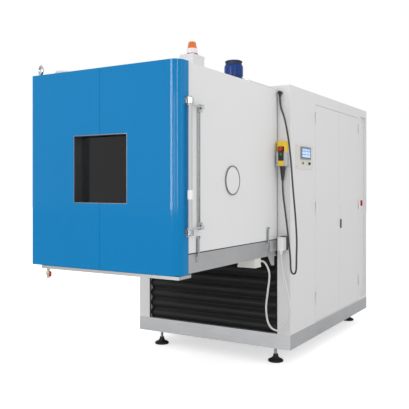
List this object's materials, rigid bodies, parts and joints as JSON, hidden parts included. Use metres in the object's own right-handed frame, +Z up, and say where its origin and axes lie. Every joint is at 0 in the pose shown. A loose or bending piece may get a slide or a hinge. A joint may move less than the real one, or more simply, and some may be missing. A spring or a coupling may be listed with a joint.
{
  "type": "vibration test chamber",
  "caption": "Climatic test chamber on a lift in front of its machine cabinet, with a round opening in its floor for a shaker, a windowed door and a hand pendant.",
  "frame": {"origin": "middle of the machine's box in plan, at floor level, cables left out", "axes": "+X to the right seen from the front, +Y to the rear, +Z up"},
  "size_m": [1.6019, 3.537, 2.445],
  "materials": {
    "cabinet_paint": "light grey powder coat, fine texture",
    "chamber_paint": "pale grey powder coat, satin",
    "door_paint": "blue enamel, semi-gloss",
    "beam_metal": "brushed and clear coated steel",
    "stainless": "brushed stainless steel",
    "zinc_plate": "zinc plated sheet",
    "satin_chrome": "satin chrome plate",
    "carriage_paint": "dark grey enamel",
    "bellows_sheet": "black coated bellows sheet, satin",
    "black_rubber": "black rubber, matt",
    "black_plastic": "black moulded plastic",
    "device_plastic": "dark grey moulded plastic",
    "light_plastic": "light grey moulded plastic",
    "white_plastic": "white moulded plastic",
    "yellow_plastic": "yellow moulded plastic",
    "red_plastic": "red moulded plastic",
    "green_plastic": "green moulded plastic",
    "amber_plastic": "amber translucent plastic",
    "screen_surface": "screen surface, smooth",
    "window_glass": "clear safety glass",
    "white_sheath": "white flexible sheath",
    "black_sheath": "black flexible sheath",
    "motor_paint": "blue enamel",
    "cast_aluminium": "cast aluminium",
    "plated_brass": "nickel plated brass"
  },
  "bodies": {
    "cabinet": {"base_beams": "beam_metal", "cabinet_frame": "cabinet_paint", "cabinet_panels": "cabinet_paint", "lift_bulkhead": "zinc_plate", "guide_seals": "black_rubber", "control_bay": "zinc_plate", "switchgear": "device_plastic", "foot_pads": "black_rubber", "foot_stems": "satin_chrome", "lift_cylinder": "carriage_paint", "bellows": "bellows_sheet", "switch_plates": "light_plastic", "screen_bezel": "black_plastic", "screen_glass": "screen_surface", "pendant_holder": "cabinet_paint", "pendant_body": "yellow_plastic", "cable_fittings": "black_plastic", "connector_hood": "light_plastic", "pendant_cable": "black_sheath", "chamber_cable": "white_sheath"},
    "chamber": {"lift_carriage": "carriage_paint", "lift_rod": "satin_chrome", "chamber_walls": "chamber_paint", "port_wall": "chamber_paint", "chamber_liner": "stainless", "air_baffle": "stainless", "floor_panel": "stainless", "door_gasket": "black_rubber", "chamber_fittings": "satin_chrome", "port_ring": "stainless", "drip_gutter": "stainless", "drain_valve": "plated_brass", "fan_motor": "motor_paint", "roof_fittings": "cabinet_paint", "beacon_ring": "red_plastic", "beacon_base": "white_plastic", "beacon_lens": "amber_plastic", "junction_box": "light_plastic"},
    "door": {"door_shell": "door_paint", "window_frame": "stainless", "window_panes": "window_glass", "door_fittings": "satin_chrome"},
    "locking_bar": {"lock_bar": "satin_chrome", "bar_collar": "white_plastic"},
    "clip_right_front": {"clip_right_front": "satin_chrome"},
    "clip_right_rear": {"clip_right_rear": "satin_chrome"},
    "clip_left_front": {"clip_left_front": "satin_chrome"},
    "clip_left_rear": {"clip_left_rear": "satin_chrome"},
    "port_plug": {"port_plug": "light_plastic"},
    "fan_rotor": {"fan_rotor": "cast_aluminium"},
    "valve_handle": {"valve_handle": "red_plastic"},
    "bay_leaf_front": {"bay_leaf_front": "cabinet_paint"},
    "bay_leaf_rear": {"bay_leaf_rear": "cabinet_paint"},
    "bay_handle": {"bay_handle": "satin_chrome"},
    "main_switch": {"main_switch": "red_plastic"},
    "stop_button": {"stop_button": "red_plastic"},
    "down_button": {"down_button": "black_plastic"},
    "up_button": {"up_button": "green_plastic"},
    "push_button": {"push_button": "amber_plastic"},
    "selector_switch": {"selector_switch": "black_plastic"}
  },
  "joints": [
    {"name": "chamber_lift", "type": "slide", "parent": "cabinet", "child": "chamber", "axis": [0, 0, 1], "range_m": [-0.3, 0], "deforming": ["bellows", "chamber_cable"]},
    {"name": "door_swing", "type": "hinge", "parent": "chamber", "child": "door", "pos_m": [-0.61925, -1.6535, 1.553], "axis": [0, 0, -1], "range_deg": [0, 110]},
    {"name": "locking_bar_turn", "type": "hinge", "parent": "door", "child": "locking_bar", "pos_m": [0.65875, -1.6745, 1.553], "axis": [0, 0, -1], "range_deg": [0, 90]},
    {"name": "port_plug_slide", "type": "slide", "parent": "chamber", "child": "port_plug", "axis": [1, 0, 0], "range_m": [0, 0.2]},
    {"name": "fan_spin", "type": "hinge", "parent": "chamber", "child": "fan_rotor", "pos_m": [0.33975, -0.5225, 1.96], "axis": [0, 0, 1], "continuous": true},
    {"name": "drain_valve_turn", "type": "hinge", "parent": "chamber", "child": "valve_handle", "pos_m": [-0.47725, -1.7165, 0.83], "axis": [1, 0, 0], "range_deg": [0, 90]},
    {"name": "clip_right_front_turn", "type": "hinge", "parent": "chamber", "child": "clip_right_front", "pos_m": [0.63575, -1.5415, 1.115], "axis": [0, -1, 0], "range_deg": [0, 95]},
    {"name": "clip_right_rear_turn", "type": "hinge", "parent": "chamber", "child": "clip_right_rear", "pos_m": [0.63575, -0.5065, 1.115], "axis": [0, -1, 0], "range_deg": [0, 95]},
    {"name": "clip_left_front_turn", "type": "hinge", "parent": "chamber", "child": "clip_left_front", "pos_m": [-0.60225, -1.5415, 1.115], "axis": [0, 1, 0], "range_deg": [0, 95]},
    {"name": "clip_left_rear_turn", "type": "hinge", "parent": "chamber", "child": "clip_left_rear", "pos_m": [-0.60225, -0.5065, 1.115], "axis": [0, 1, 0], "range_deg": [0, 95]},
    {"name": "bay_leaf_front_swing", "type": "hinge", "parent": "cabinet", "child": "bay_leaf_front", "pos_m": [0.74225, 0.253, 1.2], "axis": [0, 0, -1], "range_deg": [0, 110]},
    {"name": "bay_leaf_rear_swing", "type": "hinge", "parent": "cabinet", "child": "bay_leaf_rear", "pos_m": [0.74225, 1.481, 1.2], "axis": [0, 0, 1], "range_deg": [0, 110]},
    {"name": "bay_handle_turn", "type": "hinge", "parent": "bay_leaf_rear", "child": "bay_handle", "pos_m": [0.73175, 0.9135, 1.115], "axis": [1, 0, 0], "range_deg": [0, 90]},
    {"name": "main_switch_turn", "type": "hinge", "parent": "cabinet", "child": "main_switch", "pos_m": [0.73175, 1.5915, 1.266], "axis": [1, 0, 0], "range_deg": [0, 90]},
    {"name": "stop_button_press", "type": "slide", "parent": "cabinet", "child": "stop_button", "axis": [0, 1, 0], "range_m": [0, 0.0035], "stiffness_N_per_m": 1200},
    {"name": "down_button_press", "type": "slide", "parent": "cabinet", "child": "down_button", "axis": [0, 1, 0], "range_m": [0, 0.0025], "stiffness_N_per_m": 600},
    {"name": "up_button_press", "type": "slide", "parent": "cabinet", "child": "up_button", "axis": [0, 1, 0], "range_m": [0, 0.0025], "stiffness_N_per_m": 600},
    {"name": "push_button_press", "type": "slide", "parent": "cabinet", "child": "push_button", "axis": [-1, 0, 0], "range_m": [0, 0.0025], "stiffness_N_per_m": 600},
    {"name": "selector_turn", "type": "hinge", "parent": "cabinet", "child": "selector_switch", "pos_m": [0.74175, 0.0665, 1.632], "axis": [1, 0, 0], "range_deg": [-45, 45]}
  ]
}
